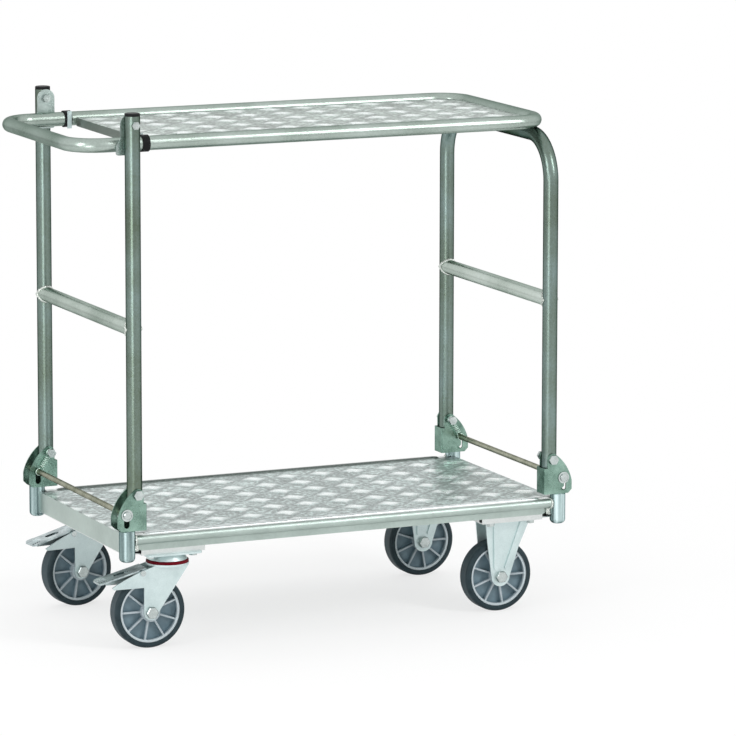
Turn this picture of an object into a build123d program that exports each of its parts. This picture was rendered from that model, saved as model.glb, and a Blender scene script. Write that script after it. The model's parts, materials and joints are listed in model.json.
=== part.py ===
from build123d import *
from math import cos, hypot, pi, radians, sin, sqrt
import os

os.makedirs("parts", exist_ok=True)

# A folding table trolley. X runs along its length, with the push handle at -X,
# Y runs across it and Z is up. The origin is on the floor, under the middle of
# the overall outline. All lengths are in millimetres.

# Tubes, sheet and clearances
tube_d = 27.0
tube_wall = 1.5
shelf_tube_d = 25.0
shelf_tube_wall = 1.5
sheet_t = 1.5
weld_gap = 0.3
run_fit = 0.05
slip_gap = 0.3
post_clear = 0.5

# Hinge lines, posts and crossbars
post_gap_x = 800.0
post_gap_y = 434.0
hinge_rise = 73.0
post_top_z = 944.0
foot_len = 30.0
crossbar_z = 569.0
cap_t = 5.0
cap_round = 1.5
foot_cap_t = 3.0
plug_len = 9.0
plug_wall = 1.5

# Upper shelf
shelf_drop = 57.0
shelf_pivot_rise = 37.0
handle_reach = 91.5
shelf_over = 2.5
shelf_corner_r = 55.0
sheet_rise = 3.0
sheet_start = 48.0
flange_h = 16.0
flange_lip = 14.0
strut_w = 16.0
strut_h = 5.0
ear_w = 32.0
ear_t = 3.0
ear_flare = 8.0
ear_drop = 17.0
ear_post_gap = 0.7
ear_round = 4.0
collar_start = 27.0
collar_len = 13.0
collar_t = 2.4
clip_w = 8.0
clip_h = 31.0
clip_t = 2.0

# Bow at the far end
bow_bend_r = 78.0

# Lower deck
deck_over_wheel = 78.0
deck_half_y = 230.0
bead_r = 8.5
skirt_setback = 13.0
skirt_h = 12.0
skirt_lip = 12.0
skirt_taper = 14.0
end_drop = 36.0
channel_w = 146.0
channel_t = 2.0
channel_drop = 36.5

# Corner stubs and hinge brackets
stub_d = 28.0
stub_wall = 2.0
stub_out_x = 16.0
stub_out_y = 4.0
stub_dome = 8.0
stub_depth = 46.0
stub_bevel = 1.5
plate_t = 2.5
bracket_in = 16.5
bracket_out = 38.0
bracket_drop = 63.0
bracket_step = 16.0
bracket_top_r = 10.5
bracket_bend_r = 2.4
shoulder_out = 26.0
shoulder_drop = 12.0
bracket_side_drop = 40.0
bracket_corner = 7.0

# Hinge bolts, shelf bolts and release rods
hinge_bolt_d = 10.0
hinge_head_af = 16.0
hinge_head_h = 6.0
hinge_nut_af = 14.0
hinge_nut_h = 6.0
shelf_bolt_d = 8.0
shelf_bolt_af = 13.0
shelf_head_h = 5.0
shelf_nut_h = 6.0
rod_d = 10.0
rod_out = 21.0
rod_drop = 34.0
rod_travel = 18.0
rod_washer_d = 21.0
rod_washer_t = 2.0
rod_tip_d = 14.0
rod_tip = 4.0
slot_clear = 0.3

# Release springs
spring_d = 10.0
spring_wire = 1.6
spring_turns = 6
spring_reach = 9.4
hook_gap = 0.3
hook_lead = 60.0
hook_wrap = 280.0

# Casters
wheel_d = 130.0
wheel_w = 32.0
tyre_t = 10.0
tyre_round = 6.0
rim_ring = 4.0
rim_w = 28.0
web_t = 5.0
spokes = 9
spoke_t = 3.2
spoke_w = 24.0
hub_d = 34.0
axle_d = 12.0
axle_head_af = 19.0
axle_head_h = 8.0
cheek_gap = 40.0
cheek_t = 2.5
pad_t = 3.0
pad_x = 104.0
pad_y = 80.0
pad_corner = 9.0
pad_bolt_d = 8.0
pad_bolt_af = 13.0
pad_bolt_head = 5.5
pad_bolt_nut = 6.5
pad_bolt_x = 80.0
swivel_bolt_y = 42.0
fixed_bolt_y = 64.0
swivel_in = 73.0
rear_swivel_in = 81.0
fixed_in = 66.5
swivel_from_edge = 44.0
fixed_from_edge = 65.0
trail = 37.6
race_d = 70.0
race_top_d = 58.0
race_h = 12.0
seal_d = 75.0
seal_w = 6.0
seal_h = 5.3
crown_d = 76.0
crown_t = 3.2
crown_front = 32.0
king_d = 12.0
king_head_d = 22.0
king_head_h = 4.0
front_heading = 2.0
rear_heading = 6.0
cheek_foot_r = 13.5
arm_under_wheel = 20.0
arm_reach = 110.0
arm_tip_h = 3.5
arm_sag = 0.4
pedal_pin_d = 6.0
pedal_pin_u = 53.0
pedal_pin_over_wheel = 6.0
pedal_pin_head = 2.0
pedal_pin_head_d = 10.0
pedal_heel_u = 46.0
pedal_heel_over_wheel = 14.5
pedal_toe_u = 132.0
pedal_toe_under_wheel = 8.0
pedal_t = 3.0
toe_w = 42.0
toe_len = 18.0
toe_round = 9.0
toe_rib = 2.0
toe_ribs = 4
pedal_slot_l = 26.0
pedal_slot_w = 11.0
tab_t = 3.0
tab_r = 6.0
fixed_lead = 14.0
fixed_top_w = 88.0
fixed_waist_w = 62.0
fixed_waist_under_wheel = 10.0
fixed_waist_lead = 5.5
fixed_foot_r = 18.0
fixed_rib_w = 7.0
fixed_rib_h = 1.6
fixed_rib_top = 26.0
fixed_rib_low = 10.5
fixed_rib_above = 17.0

# Places worked out from the sizes above
tube_r = tube_d / 2
shelf_r = shelf_tube_d / 2
post_x = post_gap_x / 2
post_y = post_gap_y / 2
deck_x = (handle_reach + shelf_r - bracket_out) / 2
left_x = deck_x - post_x
right_x = deck_x + post_x
deck_top = wheel_d + deck_over_wheel
hinge_z = deck_top + hinge_rise
foot_z = hinge_z - foot_len
shelf_z = post_top_z - shelf_drop
pivot_z = shelf_z + shelf_pivot_rise
ear_y = post_y - tube_r - ear_post_gap - ear_t
shelf_y = ear_y - weld_gap - shelf_r
shelf_left = left_x - handle_reach
shelf_right = right_x + shelf_over
bow_top_z = shelf_z - shelf_r - slip_gap - tube_r
sheet_top = shelf_z + sheet_rise
sheet_half = shelf_y - shelf_r - weld_gap
bracket_gap = tube_d + 2 * post_clear
bracket_w = bracket_gap + 2 * plate_t
bracket_y = bracket_w / 2
bracket_z = hinge_z - bracket_drop
stub_r = stub_d / 2
stub_x = post_x + stub_out_x
stub_y = post_y + stub_out_y
stub_z = deck_top - stub_depth
rod_z = hinge_z - rod_drop
rod_face = post_y + bracket_y + slip_gap
spring_y = post_y - bracket_y - weld_gap - spring_d / 2
bead_y = deck_half_y - bead_r
bead_low = deck_top - 2 * bead_r
skirt_y = deck_half_y - skirt_setback
skirt_z = bead_low - skirt_h
panel_x = stub_x - stub_r - weld_gap
end_y = stub_y - stub_r - weld_gap
under_z = deck_top - sheet_t
channel_z = under_z - channel_drop
channel_out = stub_x - sheet_t
channel_in = channel_out - channel_w
web_y = skirt_y - sheet_t - skirt_lip - weld_gap
wheel_r = wheel_d / 2
rim_r = wheel_r - tyre_t
hub_w = cheek_gap - 2 * slip_gap
cheek_y = cheek_gap / 2 + cheek_t
swivel_y = deck_half_y - swivel_from_edge
fixed_y = deck_half_y - fixed_from_edge
arm_low_z = wheel_d - arm_under_wheel
pedal_pin_z = wheel_d + pedal_pin_over_wheel
pedal_heel_z = wheel_d + pedal_heel_over_wheel
pedal_toe_z = wheel_d - pedal_toe_under_wheel
fixed_waist_z = wheel_d - fixed_waist_under_wheel
pad_z = channel_z - pad_t
race_z = pad_z - race_h
crown_z = race_z - slip_gap - seal_h
front_caster_x = left_x + swivel_in
rear_caster_x = left_x + rear_swivel_in
right_caster_x = right_x - fixed_in
tab_y = cheek_gap / 2 - post_clear


def side_view(x, y, z):
    """A plane seen from the front: its own x is X and its own y is Z."""
    return Plane((x, y, z), x_dir=(1, 0, 0), z_dir=(0, -1, 0))


def across(x, y, z, way):
    """A plane square to Y at a point, that looks along +Y (1) or -Y (-1)."""
    return Plane((x, y, z), x_dir=(1, 0, 0), z_dir=(0, way, 0))


def ring(outer, wall):
    """The section of a tube, on the active plane."""
    Circle(outer / 2)
    Circle(outer / 2 - wall, mode=Mode.SUBTRACT)


def round_bar(plane, diameter, length):
    """A round bar that grows along the plane's normal."""
    with BuildSketch(plane) as section:
        Circle(diameter / 2)
    extrude(section.sketch, amount=length)


def hex_bar(plane, flats, length):
    """A bolt head or a nut that grows along the plane's normal."""
    with BuildSketch(plane) as section:
        RegularPolygon(flats / 2, 6, major_radius=False)
    extrude(section.sketch, amount=length)


def cut_bore(plane, diameter, length):
    """A round hole, cut to both sides of the plane."""
    with BuildSketch(plane) as section:
        Circle(diameter / 2)
    extrude(section.sketch, amount=length, both=True, mode=Mode.SUBTRACT)


# Lower deck: one sheet with a rolled bead, a skirt and a return lip along each
# long side, and a flap folded down between the corner stubs at each end.
with BuildPart() as deck_panel:
    with BuildSketch(Plane((deck_x - panel_x, 0, 0), x_dir=(0, 1, 0), z_dir=(1, 0, 0))):
        with BuildLine():
            Line((0, deck_top), (bead_y, deck_top))
            ThreePointArc((bead_y, deck_top), (deck_half_y, deck_top - bead_r), (bead_y, bead_low))
            Polyline(
                (bead_y, bead_low),
                (skirt_y, bead_low),
                (skirt_y, skirt_z),
                (skirt_y - sheet_t - skirt_lip, skirt_z),
                (skirt_y - sheet_t - skirt_lip, skirt_z + sheet_t),
                (skirt_y - sheet_t, skirt_z + sheet_t),
                (skirt_y - sheet_t, bead_low + sheet_t),
                (bead_y, bead_low + sheet_t),
            )
            ThreePointArc(
                (bead_y, bead_low + sheet_t),
                (deck_half_y - sheet_t, deck_top - bead_r),
                (bead_y, under_z),
            )
            Polyline((bead_y, under_z), (0, under_z), (0, deck_top))
        make_face()
        mirror(about=Plane.YZ)
    extrude(amount=2 * panel_x)
    # the skirt curves up towards each end
    for end in (-1, 1):
        with BuildSketch(Plane((deck_x, 0, 0), x_dir=(end, 0, 0), z_dir=(0, -end, 0))):
            with BuildLine():
                Polyline(
                    (panel_x - skirt_taper, skirt_z),
                    (panel_x, skirt_z),
                    (panel_x, bead_low),
                )
                RadiusArc(
                    (panel_x, bead_low), (panel_x - skirt_taper, skirt_z), 2 * skirt_taper
                )
            make_face()
        extrude(amount=deck_half_y, both=True, mode=Mode.SUBTRACT)
    # end flaps
    for end in (-1, 1):
        with BuildSketch(Plane((deck_x + end * (panel_x + stub_x) / 2, 0, under_z))):
            Rectangle(stub_x - panel_x, 2 * end_y)
        extrude(amount=sheet_t)
        with BuildSketch(Plane((deck_x + end * (stub_x - sheet_t / 2), 0, deck_top - end_drop))):
            Rectangle(sheet_t, 2 * end_y)
        extrude(amount=end_drop)
    top_edges = deck_panel.edges().filter_by(Axis.Y).group_by(Axis.Z)[-1].sort_by(Axis.X)
    fillet([top_edges[0], top_edges[-1]], sheet_t)

# A channel across each end, under the sheet, carries the casters. Its floor
# reaches out under the skirts and is turned up there.
with BuildPart() as end_channel_left:
    with BuildSketch(side_view(deck_x, 0, 0)):
        with BuildLine():
            Polyline(
                (-channel_out, under_z),
                (-channel_out, channel_z),
                (-channel_in, channel_z),
                (-channel_in, under_z),
                (-channel_in - channel_t, under_z),
                (-channel_in - channel_t, channel_z + channel_t),
                (-channel_out + channel_t, channel_z + channel_t),
                (-channel_out + channel_t, under_z),
                close=True,
            )
        make_face()
    extrude(amount=web_y, both=True)
    floor_len = panel_x - skirt_taper - channel_in
    floor_x = deck_x - channel_in - floor_len / 2
    with BuildSketch(Plane((floor_x, 0, channel_z))):
        Rectangle(floor_len, 2 * skirt_y)
    extrude(amount=channel_t)
    with BuildSketch(Plane((floor_x, 0, channel_z))):
        with Locations((0, skirt_y - channel_t / 2), (0, channel_t / 2 - skirt_y)):
            Rectangle(floor_len, channel_t)
    extrude(amount=skirt_z - channel_z)
    with BuildSketch(Plane.XY.offset(channel_z)):
        with Locations((front_caster_x, -swivel_y), (rear_caster_x, swivel_y)):
            with GridLocations(pad_bolt_x, swivel_bolt_y, 2, 2):
                Circle(pad_bolt_d / 2 + slip_gap)
    extrude(amount=channel_t, mode=Mode.SUBTRACT)
    # room for the corner stubs
    with BuildSketch(Plane((deck_x - stub_x, 0, channel_z))):
        with Locations((0, -stub_y), (0, stub_y)):
            Circle(stub_r + weld_gap)
    extrude(amount=channel_drop, mode=Mode.SUBTRACT)

with BuildPart() as end_channel_right:
    with BuildSketch(side_view(deck_x, 0, 0)):
        with BuildLine():
            Polyline(
                (channel_out, under_z),
                (channel_out, channel_z),
                (channel_in, channel_z),
                (channel_in, under_z),
                (channel_in + channel_t, under_z),
                (channel_in + channel_t, channel_z + channel_t),
                (channel_out - channel_t, channel_z + channel_t),
                (channel_out - channel_t, under_z),
                close=True,
            )
        make_face()
    extrude(amount=web_y, both=True)
    with BuildSketch(Plane((2 * deck_x - floor_x, 0, channel_z))):
        Rectangle(floor_len, 2 * skirt_y)
    extrude(amount=channel_t)
    with BuildSketch(Plane((2 * deck_x - floor_x, 0, channel_z))):
        with Locations((0, skirt_y - channel_t / 2), (0, channel_t / 2 - skirt_y)):
            Rectangle(floor_len, channel_t)
    extrude(amount=skirt_z - channel_z)
    with BuildSketch(Plane((right_caster_x, 0, channel_z))):
        with Locations((0, -fixed_y), (0, fixed_y)):
            with GridLocations(pad_bolt_x, fixed_bolt_y, 2, 2):
                Circle(pad_bolt_d / 2 + slip_gap)
    extrude(amount=channel_t, mode=Mode.SUBTRACT)
    with BuildSketch(Plane((deck_x + stub_x, 0, channel_z))):
        with Locations((0, -stub_y), (0, stub_y)):
            Circle(stub_r + weld_gap)
    extrude(amount=channel_drop, mode=Mode.SUBTRACT)

# Corner stubs: short tubes with a domed lower end, one at each corner.
with BuildPart() as stub_front_left:
    with BuildSketch(side_view(deck_x - stub_x, -stub_y, 0)):
        with BuildLine():
            Line((0, stub_z), (stub_r - stub_dome, stub_z))
            RadiusArc((stub_r - stub_dome, stub_z), (stub_r, stub_z + stub_dome), -stub_dome)
            Polyline(
                (stub_r, stub_z + stub_dome),
                (stub_r, bracket_z - stub_bevel),
                (stub_r - stub_bevel, bracket_z),
                (stub_r - stub_wall, bracket_z),
                (stub_r - stub_wall, stub_z + stub_dome),
            )
            RadiusArc(
                (stub_r - stub_wall, stub_z + stub_dome),
                (stub_r - stub_dome, stub_z + stub_wall),
                stub_dome - stub_wall,
            )
            Polyline((stub_r - stub_dome, stub_z + stub_wall), (0, stub_z + stub_wall), (0, stub_z))
        make_face()
    revolve(axis=Axis((deck_x - stub_x, -stub_y, 0), (0, 0, 1)))

with BuildPart() as stub_rear_left:
    mirror(stub_front_left.part, about=Plane.XZ)

with BuildPart() as stub_front_right:
    mirror(stub_front_left.part, about=Plane.YZ.offset(deck_x))

with BuildPart() as stub_rear_right:
    mirror(stub_front_right.part, about=Plane.XZ)

# Hinge brackets: a folded plate, open to the outside, that takes the foot of a
# post between its two fins. The slot in each fin guides the release rod. The
# outline is drawn from the hinge, outwards and upwards.
top_turn = radians(50)
top_end = (bracket_top_r * cos(top_turn), bracket_top_r * sin(top_turn))
outwards = Plane((left_x, -post_y, hinge_z), x_dir=(-1, 0, 0), z_dir=(0, 1, 0))
with BuildPart() as bracket_front_left:
    with BuildSketch(outwards):
        with BuildLine():
            ThreePointArc((-bracket_top_r, 0), (0, bracket_top_r), top_end)
            ThreePointArc(
                top_end, (shoulder_out, -shoulder_drop), (bracket_out, -bracket_side_drop)
            )
            Polyline(
                (bracket_out, -bracket_side_drop),
                (bracket_out, bracket_corner - bracket_drop),
                (bracket_out - bracket_corner, -bracket_drop),
                (-bracket_in, -bracket_drop),
                (-bracket_in, -bracket_step),
                (-bracket_top_r, -bracket_step),
                (-bracket_top_r, 0),
            )
        make_face()
    extrude(amount=bracket_y, both=True)
    inner_face = bracket_front_left.faces().sort_by(Axis.X)[-1]
    fillet(inner_face.edges().filter_by(Axis.Z), bracket_bend_r)
    # the space between the fins, open outwards and upwards
    with BuildSketch(outwards):
        with BuildLine():
            Polyline(
                (plate_t - bracket_in, plate_t - bracket_drop),
                (bracket_out, plate_t - bracket_drop),
                (bracket_out, bracket_top_r),
                (plate_t - bracket_in, bracket_top_r),
                close=True,
            )
        make_face()
    extrude(amount=bracket_gap / 2, both=True, mode=Mode.SUBTRACT)
    with BuildSketch(outwards):
        Circle(hinge_bolt_d / 2 + run_fit)
        with Locations((rod_out, -rod_drop - rod_travel / 2)):
            SlotCenterToCenter(rod_travel, rod_d + 2 * slot_clear, rotation=90)
    extrude(amount=bracket_w, both=True, mode=Mode.SUBTRACT)

with BuildPart() as bracket_rear_left:
    mirror(bracket_front_left.part, about=Plane.XZ)

with BuildPart() as bracket_front_right:
    mirror(bracket_front_left.part, about=Plane.YZ.offset(deck_x))

with BuildPart() as bracket_rear_right:
    mirror(bracket_front_right.part, about=Plane.XZ)

# Hinge bolts: the head is outside, and the long inner end takes the hook of the
# release spring between the bracket and the nut.
nut_y = spring_y - spring_d / 2
with BuildPart() as hinge_bolts:
    for x in (left_x, right_x):
        for side in (-1, 1):
            head = across(x, side * (post_y + bracket_y), hinge_z, side)
            hex_bar(head, hinge_head_af, hinge_head_h)
            inner_end = across(x, side * (nut_y - hinge_nut_h), hinge_z, side)
            round_bar(inner_end, hinge_bolt_d, post_y + bracket_y - nut_y + hinge_nut_h)
            hex_bar(inner_end, hinge_nut_af, hinge_nut_h)

# Release rods: a bar across each end, with a flanged cap pressed on outside each
# bracket.
rod_end = rod_face + rod_washer_t + rod_tip / 2
with BuildPart() as release_rod_left:
    round_bar(across(left_x - rod_out, -rod_end, rod_z, 1), rod_d, 2 * rod_end)

with BuildPart() as release_rod_right:
    mirror(release_rod_left.part, about=Plane.YZ.offset(deck_x))

with BuildPart() as rod_caps_left:
    for side in (-1, 1):
        round_bar(
            across(left_x - rod_out, side * rod_face, rod_z, side), rod_washer_d, rod_washer_t
        )
        tip_y = rod_face + rod_washer_t
        round_bar(across(left_x - rod_out, side * tip_y, rod_z, side), rod_tip_d, rod_tip)
    chamfer(rod_caps_left.edges().group_by(Axis.Y)[0], rod_tip / 4)
    chamfer(rod_caps_left.edges().group_by(Axis.Y)[-1], rod_tip / 4)
    # the blind bore that takes the end of the bar
    with BuildSketch(across(left_x - rod_out, -rod_end - run_fit, rod_z, 1)):
        Circle(rod_d / 2 + run_fit)
    extrude(amount=2 * (rod_end + run_fit), mode=Mode.SUBTRACT)

with BuildPart() as rod_caps_right:
    mirror(rod_caps_left.part, about=Plane.YZ.offset(deck_x))

# Release springs: a hook round the hinge bolt, a coil, and a hook round the rod,
# as one wire. It is drawn along the line from bolt to rod (s), square to that in
# the plane of the hooks (n), and along Y (w).
spring_len = hypot(rod_out, rod_drop)
coil_r = (spring_d - spring_wire) / 2
hook_r = max(hinge_bolt_d, rod_d) / 2 + hook_gap + spring_wire / 2
coil_len = spring_len - 2 * spring_reach
pitch = coil_len / spring_turns


def spring_place(s, n, w):
    """From the spring's own s, n, w to X, Y, Z at the front left bracket."""
    along = (-rod_out / spring_len, -rod_drop / spring_len)
    return Vector(
        left_x + along[0] * s - along[1] * n, w - spring_y, hinge_z + along[1] * s + along[0] * n
    )


def hook_point(centre, angle):
    """A point of a hook and the wire's direction there, the wire going clockwise."""
    turn = radians(angle)
    return (
        (centre + hook_r * cos(turn), hook_r * sin(turn), 0),
        (sin(turn), -cos(turn), 0),
    )


def coil_point(turns):
    """A point of the coil and the wire's direction there."""
    turn = 2 * pi * turns
    rise = pitch / (2 * pi)
    return (
        (spring_reach + pitch * turns, coil_r * cos(turn), coil_r * sin(turn)),
        (rise, -coil_r * sin(turn), coil_r * cos(turn)),
    )


wire_points = [hook_point(0, hook_lead + hook_wrap * (3 - i) / 3) for i in range(4)]
wire_points += [coil_point(i / 4) for i in range(4 * spring_turns + 1)]
wire_points += [hook_point(spring_len, 180 - hook_lead - hook_wrap * i / 3) for i in range(4)]
wire_places = [spring_place(*point) for point, _ in wire_points]
wire_ways = [
    (spring_place(*way) - spring_place(0, 0, 0)).normalized() for _, way in wire_points
]
with BuildPart() as spring_front_left:
    with BuildLine() as spring_path:
        for i in range(len(wire_places) - 1):
            start, end = wire_places[i], wire_places[i + 1]
            way_in, way_out = wire_ways[i], wire_ways[i + 1]
            # two arcs that meet smoothly between the points
            chord = end - start
            a = 2 * (1 - way_in.dot(way_out))
            b = 2 * chord.dot(way_in + way_out)
            c = -chord.dot(chord)
            reach = -c / b if a < 1e-9 else (sqrt(b * b - 4 * a * c) - b) / (2 * a)
            joint = (start + end + (way_in - way_out) * reach) * 0.5
            first = TangentArc(start, joint, tangent=way_in)
            TangentArc(joint, end, tangent=first % 1)
    with BuildSketch(Plane(origin=wire_places[0], z_dir=wire_ways[0])):
        Circle(spring_wire / 2)
    sweep(path=spring_path.wires()[0])

wire = spring_path.wires()[0]
samples = 400
wire_line = [wire @ (i / samples) for i in range(samples + 1)]
step = wire.length / samples
near = int(4 * spring_wire / step) + 1
least = min(
    (wire_line[i] - wire_line[j]).length
    for i in range(samples + 1)
    for j in range(i + near, samples + 1)
)
print("least gap of a release spring to itself", round(least - spring_wire, 2))

with BuildPart() as springs_left:
    add(spring_front_left.part)
    mirror(spring_front_left.part, about=Plane.XZ)

with BuildPart() as springs_right:
    mirror(springs_left.part, about=Plane.YZ.offset(deck_x))

# Left frame: two straight posts, a crossbar welded between them, and caps.
with BuildPart() as left_post_front:
    with BuildSketch(Plane((left_x, -post_y, foot_z + foot_cap_t))):
        ring(tube_d, tube_wall)
    extrude(amount=post_top_z - cap_t - foot_z - foot_cap_t)
    cut_bore(across(left_x, -post_y, hinge_z, 1), hinge_bolt_d + 2 * run_fit, tube_d)
    cut_bore(across(left_x, -post_y, pivot_z, 1), shelf_bolt_d + 2 * run_fit, tube_d)

with BuildPart() as left_post_rear:
    mirror(left_post_front.part, about=Plane.XZ)

with BuildPart() as left_crossbar:
    with BuildSketch(across(left_x, 0, crossbar_z, 1)):
        ring(tube_d, tube_wall)
    extrude(amount=post_y, both=True)
    # the ends are coped to sit on the posts
    with BuildSketch(Plane((left_x, 0, crossbar_z - tube_d))):
        with Locations((0, -post_y), (0, post_y)):
            Circle(tube_r + weld_gap)
    extrude(amount=2 * tube_d, mode=Mode.SUBTRACT)

with BuildPart() as post_caps:
    for side in (-1, 1):
        round_bar(Plane((left_x, side * post_y, post_top_z - cap_t)), tube_d, cap_t)
        with BuildSketch(Plane((left_x, side * post_y, post_top_z - cap_t - plug_len))):
            ring(tube_d - 2 * tube_wall - 2 * weld_gap, plug_wall)
        extrude(amount=plug_len)
    fillet(post_caps.edges().group_by(Axis.Z)[-1], cap_round)

with BuildPart() as left_foot_caps:
    for side in (-1, 1):
        round_bar(Plane((left_x, side * post_y, foot_z)), tube_d, foot_cap_t)
        with BuildSketch(Plane((left_x, side * post_y, foot_z + foot_cap_t))):
            ring(tube_d - 2 * tube_wall - 2 * weld_gap, plug_wall)
        extrude(amount=plug_len)
    fillet(left_foot_caps.edges().group_by(Axis.Z)[0], cap_round)

# Bolts that the shelf turns on, near the top of the left posts.
with BuildPart() as shelf_bolts:
    for side in (-1, 1):
        head_y = post_y + tube_r
        end_of_nut = ear_y - slip_gap - shelf_nut_h
        hex_bar(across(left_x, side * head_y, pivot_z, side), shelf_bolt_af, shelf_head_h)
        inner_end = across(left_x, side * end_of_nut, pivot_z, side)
        round_bar(inner_end, shelf_bolt_d, head_y - end_of_nut)
        hex_bar(inner_end, shelf_bolt_af, shelf_nut_h)

# Upper shelf: a closed loop of tube whose left end is the push handle.
with BuildPart() as shelf_loop:
    loop_half = (shelf_right - shelf_left) / 2
    loop_mid = (shelf_right + shelf_left) / 2
    with BuildLine(Plane((loop_mid, 0, shelf_z))) as loop_path:
        FilletPolyline(
            (0, -shelf_y),
            (loop_half, -shelf_y),
            (loop_half, shelf_y),
            (0, shelf_y),
            radius=shelf_corner_r,
        )
    with BuildSketch(Plane((loop_mid, -shelf_y, shelf_z), z_dir=(1, 0, 0))):
        ring(shelf_tube_d, shelf_tube_wall)
    sweep(path=loop_path.wires()[0])
    mirror(about=Plane.YZ.offset(loop_mid))

# The shelf's sheet lies inside the loop, a little below the top of the tube,
# and is folded down and back across its left end.
sheet_left = left_x + sheet_start
sheet_right = shelf_right - shelf_r - weld_gap
with BuildPart() as shelf_sheet:
    with BuildSketch(Plane(((sheet_left + sheet_right) / 2, 0, sheet_top - sheet_t))) as plan:
        Rectangle(sheet_right - sheet_left, 2 * sheet_half)
        fillet(plan.vertices().group_by(Axis.X)[-1], shelf_corner_r - shelf_r - weld_gap)
    extrude(amount=sheet_t)
    with BuildSketch(Plane((sheet_left + sheet_t / 2, 0, sheet_top - flange_h))):
        Rectangle(sheet_t, 2 * sheet_half)
    extrude(amount=flange_h)
    with BuildSketch(Plane((sheet_left + flange_lip / 2, 0, sheet_top - flange_h))):
        Rectangle(flange_lip, 2 * sheet_half)
    extrude(amount=sheet_t)
    fold = shelf_sheet.edges().filter_by(Axis.Y).group_by(Axis.X)[0]
    fillet(fold, sheet_t * 0.8)

with BuildPart() as shelf_strut:
    with BuildSketch(Plane((deck_x, 0, sheet_top - sheet_t - strut_h))):
        Rectangle(strut_w, 2 * sheet_half)
    extrude(amount=strut_h)

# Ear plates: welded to the outside of the loop, they hang the shelf from the posts.
with BuildPart() as ear_front:
    with BuildSketch(side_view(left_x, -ear_y, pivot_z)) as ear_plan:
        with BuildLine():
            ThreePointArc((ear_w / 2, 0), (0, ear_w / 2), (-ear_w / 2, 0))
            Polyline(
                (-ear_w / 2, 0),
                (-ear_w / 2, shelf_r - shelf_pivot_rise),
                (-ear_w / 2 - ear_flare, -shelf_pivot_rise),
                (-ear_w / 2 - ear_flare, -shelf_pivot_rise - ear_drop),
                (ear_w / 2, -shelf_pivot_rise - ear_drop),
                (ear_w / 2, 0),
            )
        make_face()
        fillet(ear_plan.vertices().group_by(Axis.Y)[0], ear_round)
        Circle(shelf_bolt_d / 2 + run_fit, mode=Mode.SUBTRACT)
    extrude(amount=ear_t)

with BuildPart() as ear_rear:
    mirror(ear_front.part, about=Plane.XZ)

# A rubber collar on the loop beside each left post, with a small clip inside it.
collar_x = left_x + collar_start
with BuildPart() as collars:
    for side in (-1, 1):
        with BuildSketch(Plane((collar_x, side * shelf_y, shelf_z), z_dir=(1, 0, 0))):
            Circle(shelf_r + collar_t)
            Circle(shelf_r + run_fit, mode=Mode.SUBTRACT)
        extrude(amount=collar_len)

with BuildPart() as collar_clips:
    clip_y = shelf_y - shelf_r - collar_t - clip_t / 2
    for side in (-1, 1):
        with BuildSketch(
            Plane((collar_x + collar_len / 2, side * clip_y, shelf_z - clip_h / 2))
        ):
            Rectangle(clip_w, clip_t)
        extrude(amount=clip_h)

# Right bow: one tube bent over at both corners; the shelf's far end rests on it.
with BuildPart() as bow_tube:
    with BuildLine() as bow_path:
        FilletPolyline(
            (right_x, -post_y, foot_z + foot_cap_t),
            (right_x, -post_y, bow_top_z),
            (right_x, post_y, bow_top_z),
            (right_x, post_y, foot_z + foot_cap_t),
            radius=bow_bend_r,
        )
    with BuildSketch(Plane((right_x, -post_y, foot_z + foot_cap_t))):
        ring(tube_d, tube_wall)
    sweep(path=bow_path.wires()[0])
    cut_bore(across(right_x, 0, hinge_z, 1), hinge_bolt_d + 2 * run_fit, post_y + tube_d)

with BuildPart() as bow_crossbar:
    mirror(left_crossbar.part, about=Plane.YZ.offset(deck_x))

with BuildPart() as bow_foot_caps:
    mirror(left_foot_caps.part, about=Plane.YZ.offset(deck_x))

# Casters. Each piece is drawn about the upright axis of its own caster, with the
# wheel trailing along +X, and then set in its place.
left_front = Location((front_caster_x, -swivel_y, 0), (0, 0, 180 - front_heading))
left_rear = Location((rear_caster_x, swivel_y, 0), (0, 0, 180 + rear_heading))
front_axis = Location((front_caster_x, -swivel_y, 0))
rear_axis = Location((rear_caster_x, swivel_y, 0))
right_front = Location((right_caster_x, -fixed_y, 0))
right_rear = Location((right_caster_x, fixed_y, 0))

# Top plate of a swivel caster, with the dished ball race below it.
with BuildPart() as swivel_pad:
    with BuildSketch(Plane.XY.offset(pad_z)):
        RectangleRounded(pad_x, pad_y, pad_corner)
        with GridLocations(pad_bolt_x, swivel_bolt_y, 2, 2):
            Circle(pad_bolt_d / 2 + slip_gap, mode=Mode.SUBTRACT)
    extrude(amount=pad_t)
    with BuildSketch(Plane.XY.offset(race_z)):
        Circle(race_d / 2)
    with BuildSketch(Plane.XY.offset(pad_z)):
        Circle(race_top_d / 2)
    loft()
    cut_bore(Plane.XY.offset(pad_z), king_d + 2 * run_fit, race_h)

with BuildPart() as caster_plate_front:
    with Locations(front_axis):
        add(swivel_pad.part)

with BuildPart() as caster_plate_rear:
    with Locations(rear_axis):
        add(swivel_pad.part)

# The king pin holds the fork up from below its crown.
pin_low = crown_z - crown_t - slip_gap
with BuildPart() as king_pin:
    round_bar(Plane.XY.offset(pin_low), king_d, pad_z + pad_t - pin_low)
    round_bar(Plane.XY.offset(pin_low - king_head_h), king_head_d, king_head_h)
    chamfer(king_pin.edges().group_by(Axis.Z)[0], king_head_h / 4)

with BuildPart() as king_pins:
    with Locations(front_axis, rear_axis):
        add(king_pin.part)

with BuildPart() as seal_ring:
    with BuildSketch(Plane.XY.offset(crown_z)):
        ring(seal_d, seal_w)
    extrude(amount=seal_h)
    fillet(seal_ring.edges().group_by(Axis.Z)[-1].sort_by(SortBy.LENGTH)[-1], seal_h / 3)

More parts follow.
